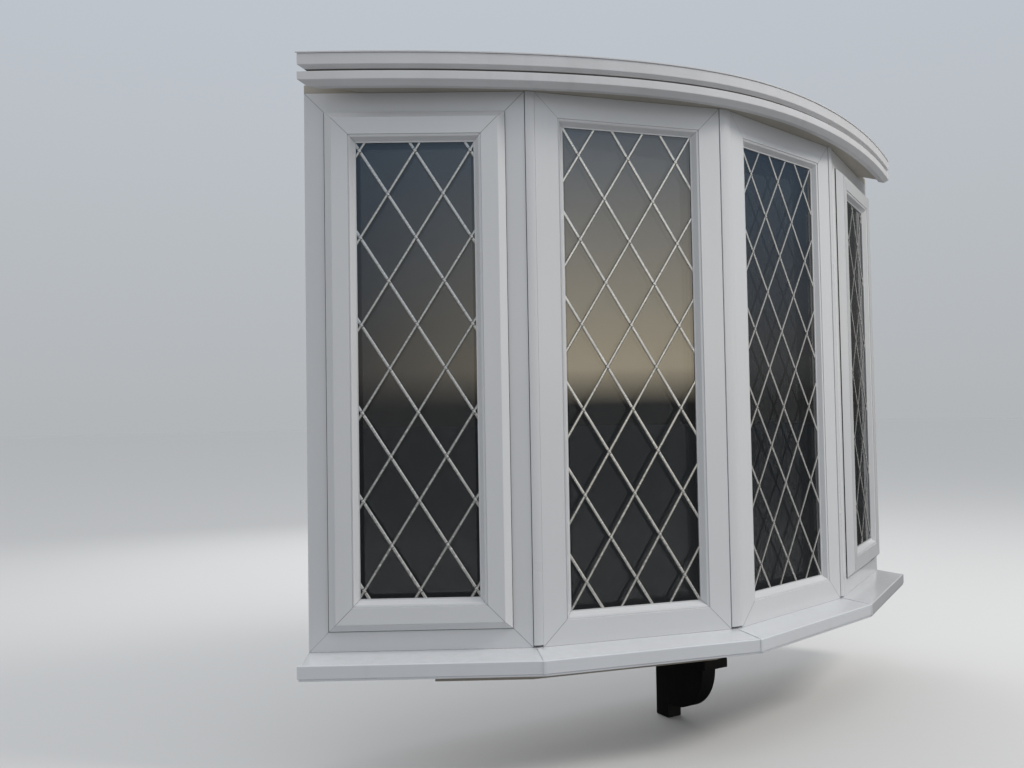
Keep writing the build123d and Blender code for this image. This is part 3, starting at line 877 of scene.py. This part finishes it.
    def lay_strip(self, shape: Shape, row: int, lean: int, out: float, facing: int) -> None:
        """Lays one strip of lead, lapped over the ones that lean the other way.

        Args:
            shape: The lattice's mesh.
            row: The line's place up the light, an odd number of half diamonds.
            lean: 1 for a strip that lies beneath and -1 for one that laps over.
            out: The face of the glass, in millimetres in front of the light's face.
            facing: 1 for the outer side of the glass and -1 for the inner.
        """
        low, high = self.reach(row, lean)
        if high - low < self.strip.shortest:
            return
        run = self.along() * self.diamond[0] / 2 + UP * (lean * self.diamond[1] / 2)
        across = run.cross(self.outward()).normalized()
        centre = self.spot(self.width / 2, self.height / 2 + row * self.diamond[1] / 2, out)
        stations = [(low - self.strip.overrun, 0.0)]
        if lean < 0:
            flat = self.strip.lap_flat / run.length
            ramp = flat + self.strip.lap_ramp / run.length
            for crossing in range(math.ceil(low), math.floor(high) + 1):
                stations += [(crossing - ramp, 0.0), (crossing - flat, self.strip.lap_rise)]
                stations += [(crossing + flat, self.strip.lap_rise), (crossing + ramp, 0.0)]
        stations.append((high + self.strip.overrun, 0.0))
        stations.sort()
        place = centre + run * stations[0][0] * MM
        loop = []
        for offset, height in self.strip.section():
            loop.append(shape.verts.new(place + (across * offset + self.outward() * height * facing) * MM))
        first = [shape.edges.new((loop[i - 1], loop[i])) for i in range(len(loop))]
        edges = first
        for (before, low_rise), (after, high_rise) in zip(stations, stations[1:]):
            made = bmesh.ops.extrude_edge_only(shape, edges=edges)["geom"]
            edges = pick(made, BMEdge)
            verts = pick(made, BMVert)
            step = run * (after - before) + self.outward() * (high_rise - low_rise) * facing
            bmesh.ops.translate(shape, verts=verts, vec=step * MM)
        bmesh.ops.edgeloop_fill(shape, edges=first)
        bmesh.ops.edgeloop_fill(shape, edges=edges)

    def build_leads(self) -> None:
        """Builds the outer and inner lattices of lapped lead strip, trimmed at the glazing beads."""
        shape = bmesh.new()
        back = self.glass_front - self.glazing_depth
        # the inner lattice gets the darker copy of the lead: painted shade
        for out, facing, coat in ((self.glass_front, 1, 0), (back, -1, 1)):
            done = len(shape.faces)
            for lean in (1, -1):
                for row in LEAD_ROWS:
                    self.lay_strip(shape, row, lean, out, facing)
            shape.faces.ensure_lookup_table()
            for face in shape.faces[done:]:
                face.material_index = coat
        self.cut_ring(shape, self.sight_margin + self.strip.clearance, trim=True)
        bmesh.ops.recalc_face_normals(shape, faces=shape.faces)
        shape.normal_update()
        fall = (self.along() * self.diamond[0] - UP * self.diamond[1]).normalized()
        # the steep sides and the lap ramps get the dark coat: painted shade
        for face in shape.faces:
            side = abs(face.normal.dot(self.outward())) < self.strip.side_limit
            if side or abs(face.normal.dot(fall)) > self.strip.ramp_limit:
                face.material_index = 2
        coats = ["outer_lead", "inner_lead_painted_shade", "lead_edge_painted_shade"]
        finish_piece(shape, f"lead_lattice_{self.number}", coats, [f"leads_{self.number}"], 65.0)

    def build(self) -> None:
        """Builds and dresses the whole light."""
        self.build_frame()
        self.build_beads()
        self.build_leads()
        paint_node(f"glass_{self.number}", "pane")


@dataclass
class Casement(LightUnit):
    """A light whose sash opens."""

    sight_margin: float = 113.2
    glass_front: float = 3.7
    crest_margin: float = 61.2
    crest_width: float = 0.3
    sash_face: float = 2.0
    sash_step: float = 1.1

    def build(self) -> None:
        """Builds and dresses the light and its sash, whose face steps back outside the crest."""
        super().build()
        shape = shape_of(f"sash_{self.number}")
        ease_edges(shape, self.ease * MM)
        self.cut_ring(shape, self.crest_margin)
        self.cut_ring(shape, self.crest_margin - self.crest_width)
        outside = [v for v in shape.verts if self.margin_of(v.co) < self.crest_margin - self.near_margin]
        slope = [v for v in outside if self.depth_of(v.co) > self.sash_face]
        bmesh.ops.translate(shape, verts=slope, vec=self.outward() * -self.sash_step * MM)
        self.score_welds(shape, self.sash_margin)
        finish_piece(shape, f"casement_{self.number}", ["white_upvc", "weld_line"], [f"sash_{self.number}"])


@dataclass
class Joinery:
    """The parts between and round the lights: posts, strips, seals, spacers and handles.

    The bands tell which points are a strip's side, past the light's end, and a seal's lip, inside it.
    """

    lights: tuple[LightUnit, ...]
    ease: float = 0.8
    side_band: tuple[float, float] = (1.0, 4.5)
    side_depth: float = 20.0
    gap_closed: float = 1.3
    seal_band: tuple[float, float] = (40.0, 48.0)
    seal_depth: float = 6.0
    seal_show: float = 2.7

    def close_gaps(self, shape: Shape) -> None:
        """Brings the left side of each joint strip nearer to its frame, to leave a fine shadow line.

        Args:
            shape: The strips' mesh.
        """
        low, high = self.side_band
        for light in self.lights[:-1]:
            end = light.spot(light.width, 0.0)
            side = []
            for vert in shape.verts:
                past = (vert.co - end).dot(light.along()) / MM
                if low < past < high and abs(light.depth_of(vert.co)) < self.side_depth:
                    side.append(vert)
            bmesh.ops.translate(shape, verts=side, vec=light.along() * -self.gap_closed * MM)

    def spread_seals(self, shape: Shape) -> None:
        """Brings the seals out at each sash's sides and foot, where their black lip shows as a fine line:
        painted shade that stands in for the shadow in the gap between sash and frame.

        Args:
            shape: The seals' mesh.
        """
        low, high = self.seal_band
        for light in self.lights:
            if not isinstance(light, Casement):
                continue
            for vert in shape.verts:
                if low < light.margin_of(vert.co) < high and abs(light.depth_of(vert.co)) < self.seal_depth:
                    place = vert.co - light.middle()
                    out = light.along() if place.dot(light.along()) > 0 else -light.along()
                    rise = 0.0 if place.z > 0 else -1.0
                    vert.co += (out + UP * rise) * self.seal_show * MM

    def build(self) -> None:
        """Builds and dresses them."""
        for number in (1, 2, 3):
            dress(f"corner_post_{number}", f"post_{number}", "white_upvc", self.ease)
        shape = shape_of("cover_strips")
        self.close_gaps(shape)
        ease_edges(shape, self.ease * MM)
        finish_piece(shape, "joint_strips", ["white_bead"], ["cover_strips"])
        shape = shape_of("sash_seals")
        self.spread_seals(shape)
        finish_piece(shape, "weather_seals", ["weather_seal"], ["sash_seals"])
        shape = shape_of("spacers")
        finish_piece(shape, "spacer_bars", ["spacer_bar"], ["spacers"])
        shape = shape_of("casement_handles")
        finish_piece(shape, "lever_handles", ["enamel"], ["casement_handles"], 40.0)


def build_cill() -> None:
    """Builds the four lengths of the moulded cill and the covers over its mitres."""
    for number in (1, 2, 3, 4):
        dress(f"cill_{number}", f"cill_length_{number}", "white_cill", 2.0, 3, 20.0)
    dress("cill_joint_covers", "cill_covers", "white_cill", 0.4)


def build_boards() -> None:
    """Builds the boards under the lights and the window board inside."""
    boards = (
        ("base_board", "base_panel", "plywood"),
        ("base_core", "core_panel", "plywood"),
        ("base_soffit", "under_panel", "soffit_paint"),
        ("window_board", "inner_board", "board_paint"),
    )
    for node, name, coat in boards:
        dress(node, name, coat, 1.2, angle=40.0, crease=40.0, flat=BOARD_FLAT)


def build_bracket() -> None:
    """Builds the shaped black bracket under the bow and its head plate."""
    dress("bracket", "shaped_bracket", "black_gloss", 2.0, 3, angle=40.0, crease=40.0, flat=BOARD_FLAT)
    dress("bracket_plate", "head_plate", "black_gloss", 2.0, 3)


@dataclass
class CorniceRoof:
    """The curved painted cornice, the soffit and the small flat roof behind it."""

    ease: float = 1.2
    groove_top: float = 1432.1
    groove_drop: float = 2.4
    gap_height: float = 4.0
    crease: float = 40.0

    def build(self) -> None:
        """Builds and dresses the cornice and the roof."""
        for node, name in (("cornice_lower", "lower_band"), ("cornice_upper", "upper_band")):
            shape = shape_of(node, BOARD_FLAT)
            ease_edges(shape, self.ease * MM, 3, 25.0)
            edge = Vector((0.0, 0.0, (self.groove_top + self.gap_height) * MM))
            cut_plane(shape, edge, UP)
            # the faces at the groove get the near-black coat: painted shade of the contact shadow between
            # the two bands
            for face in shape.faces:
                level = face.calc_center_median().z / MM - self.groove_top
                if -self.groove_drop < level < self.gap_height:
                    face.material_index = 1
            finish_piece(shape, name, ["cornice_paint", "groove_painted_shade"], [node], self.crease)
        boards = (
            ("soffit", "soffit_panel", ["soffit_paint"], 1.0),
            ("head_board", "head_panel", ["soffit_paint", "plywood"], 0.8),
            ("roof_joists", "joists", ["sawn_timber"], 1.5),
            ("roof_deck", "deck_panel", ["plywood"], 0.8),
            ("roof_cover", "cover_sheet", ["roof_sheet", "cornice_paint"], 0.5),
        )
        for node, name, coats, width in boards:
            shape = shape_of(node, BOARD_FLAT)
            ease_edges(shape, width * MM, 2, self.crease)
            shape.normal_update()
            # bare wood shows on top of the head board, and the sheet's edge is painted with the cornice
            upper = "plywood" in coats
            for face in shape.faces:
                face.material_index = 1 if len(coats) > 1 and (face.normal.z > 0.5) == upper else 0
            finish_piece(shape, name, coats, [node], self.crease)


@dataclass
class Studio:
    """The pale floor, the soft lights, the world and the camera at the photograph's angle.

    Lamps have a name, a place, a size and a power. The camera sees the backdrop, and glossy faces
    mirror the glow, the open sky beside it and the shade away from it.
    """

    floor_level: float = -0.0785
    floor_seen: Colour = (0.6, 0.6, 0.595)
    floor_lighting: Colour = (0.3, 0.3, 0.3)
    floor_mirrored: Colour = (0.03, 0.03, 0.028)
    camera_place: Place = (-1.50878, -1.88631, 0.69070)
    yaw: float = 29.7244
    pitch: float = 1.9909
    roll: float = -0.9656
    lens: float = 32.1564
    lamp_target: Place = (0.0, -0.1, 0.7)
    lamps: tuple[tuple[str, Place, float, float], ...] = (
        ("key", (3.4, -3.2, 4.6), 1.6, 190.0),
        ("fill", (-3.6, -2.6, 2.6), 3.0, 9.0),
        ("back", (0.6, 3.4, 2.6), 3.0, 40.0),
    )
    sky_tint: Colour = (0.93, 0.96, 1.0)
    sky_low: float = 0.55
    sky_high: float = 1.0
    backdrop_low: Colour = (0.447, 0.465, 0.482)
    backdrop_high: Colour = (0.53, 0.575, 0.63)
    glow_way: Place = (0.25, -0.968, 0.0)
    glow_low: Colour = (1.3, 1.14, 0.84)
    glow_high: Colour = (0.36, 0.45, 0.57)
    open_low: Colour = (0.12, 0.12, 0.12)
    open_high: Colour = (0.13, 0.2, 0.29)
    shade: Colour = (0.08, 0.08, 0.078)
    ground: Colour = (0.05, 0.048, 0.045)

    def build_floor(self) -> None:
        """Lays the plain pale floor."""
        shape = bmesh.new()
        bmesh.ops.create_grid(shape, x_segments=1, y_segments=1, size=60.0)
        bmesh.ops.translate(shape, verts=shape.verts, vec=(0.0, 0.0, self.floor_level))
        mesh = bpy.data.meshes.new("floor")
        shape.to_mesh(mesh)
        shape.free()
        floor = bpy.data.objects.new("floor", mesh)
        bpy.context.scene.collection.objects.link(floor)
        material, sheet, shader = new_material("floor_card")
        rays = sheet.add("ShaderNodeLightPath")
        glossy = rays.outputs["Is Glossy Ray"]
        bounced = sheet.mix(glossy, rgba(self.floor_lighting), rgba(self.floor_mirrored))
        tone = sheet.mix(rays.outputs["Is Camera Ray"], bounced, rgba(self.floor_seen))
        sheet.put(shader, "Base Color", tone)
        sheet.put(shader, "Roughness", 0.85)
        mesh.materials.append(material)

    def build_lamps(self) -> None:
        """Hangs the soft lights."""
        target = Vector(self.lamp_target)
        for name, place, size, power in self.lamps:
            lamp = bpy.data.lights.new(name, "AREA")
            lamp.size = size
            lamp.energy = power
            lamp.color = (1.0, 0.96, 0.9) if name == "key" else (1.0, 1.0, 1.0)
            holder = bpy.data.objects.new(name, lamp)
            holder.location = place
            way = target - Vector(place)
            holder.rotation_euler = way.to_track_quat("-Z", "Y").to_euler()
            bpy.context.scene.collection.objects.link(holder)
            holder.visible_glossy = False

    def build_world(self) -> None:
        """Sets an even, pale world, with other tones for the camera and for glossy faces."""
        world = bpy.data.worlds.new("studio")
        world.use_nodes = True
        bpy.context.scene.world = world
        tree = world.node_tree
        tree.nodes.clear()
        sheet = NodeSheet(tree)
        output = sheet.add("ShaderNodeOutputWorld")
        place = sheet.add("ShaderNodeTexCoord")
        split = sheet.add("ShaderNodeSeparateXYZ")
        sheet.put(split, 0, place.outputs["Generated"])
        even = sheet.add("ShaderNodeBackground")
        sheet.put(even, "Color", rgba(self.sky_tint))
        sheet.put(even, "Strength", sheet.spread(split.outputs["Z"], 0.0, 1.0, self.sky_low, self.sky_high))
        seen = sheet.add("ShaderNodeBackground")
        height = sheet.spread(split.outputs["Z"], 0.0, 0.5)
        plain = sheet.mix(height, rgba(self.backdrop_low), rgba(self.backdrop_high))
        height = sheet.spread(split.outputs["Z"], 0.06, 0.32)
        warm = sheet.mix(height, rgba(self.glow_low), rgba(self.glow_high))
        cool = sheet.mix(height, rgba(self.open_low), rgba(self.open_high))
        facing = sheet.add("ShaderNodeVectorMath", operation="DOT_PRODUCT")
        sheet.put(facing, 0, place.outputs["Generated"])
        sheet.put(facing, 1, self.glow_way)
        turned = facing.outputs["Value"]
        cool = sheet.mix(sheet.spread(turned, -0.1, 0.5), rgba(self.shade), cool)
        sky = sheet.mix(sheet.spread(turned, 0.6, 1.0), cool, warm)
        mirrored = sheet.mix(sheet.spread(split.outputs["Z"], 0.01, 0.05), rgba(self.ground), sky)
        rays = sheet.add("ShaderNodeLightPath")
        sheet.put(seen, "Color", sheet.mix(rays.outputs["Is Glossy Ray"], plain, mirrored))
        share = sheet.math("MAXIMUM", rays.outputs["Is Camera Ray"], rays.outputs["Is Glossy Ray"])
        share = sheet.math("MAXIMUM", share, rays.outputs["Is Transmission Ray"])
        both = sheet.add("ShaderNodeMixShader")
        sheet.put(both, 0, share)
        sheet.put(both, 1, even.outputs[0])
        sheet.put(both, 2, seen.outputs[0])
        sheet.put(output, "Surface", both.outputs[0])

    def build_camera(self) -> None:
        """Stands the camera where the photograph was taken."""
        yaw, pitch, roll = (math.radians(a) for a in (self.yaw, self.pitch, self.roll))
        forward = Vector((math.sin(yaw) * math.cos(pitch), math.cos(yaw) * math.cos(pitch), math.sin(pitch)))
        level = Vector((math.cos(yaw), -math.sin(yaw), 0.0))
        upright = level.cross(forward)
        right = level * math.cos(roll) + upright * math.sin(roll)
        above = upright * math.cos(roll) - level * math.sin(roll)
        view = bpy.data.cameras.new("camera")
        view.lens = self.lens
        view.sensor_width = 36.0
        view.clip_start = 0.05
        camera = bpy.data.objects.new("camera", view)
        turn = Matrix((right, above, -forward)).transposed().to_4x4()
        camera.matrix_world = Matrix.Translation(self.camera_place) @ turn
        bpy.context.scene.collection.objects.link(camera)
        bpy.context.scene.camera = camera

    def build(self) -> None:
        """Sets up the studio."""
        self.build_floor()
        self.build_lamps()
        self.build_world()
        self.build_camera()
        bpy.context.scene.view_settings.view_transform = "Standard"


def main() -> None:
    """Builds the whole window and the studio round it."""
    logging.basicConfig(level=logging.INFO, format="%(name)s: %(message)s")
    lights = (
        Casement(1, (-911.5, 60.8), -28.6, 484.0),
        LightUnit(2, (-465.8, -178.7), -12.6, 460.0),
        LightUnit(3, (16.9, -279.0), 12.6, 460.0),
        Casement(4, (486.6, -170.9), 28.6, 484.0),
    )
    steps = [light.build for light in lights]
    steps += [Joinery(lights).build, build_cill, CorniceRoof().build, build_boards, build_bracket]
    for step in (*steps, Studio().build):
        step()
        LOG.info("%s is done", step.__qualname__)


if __name__ == "__main__":
    main()
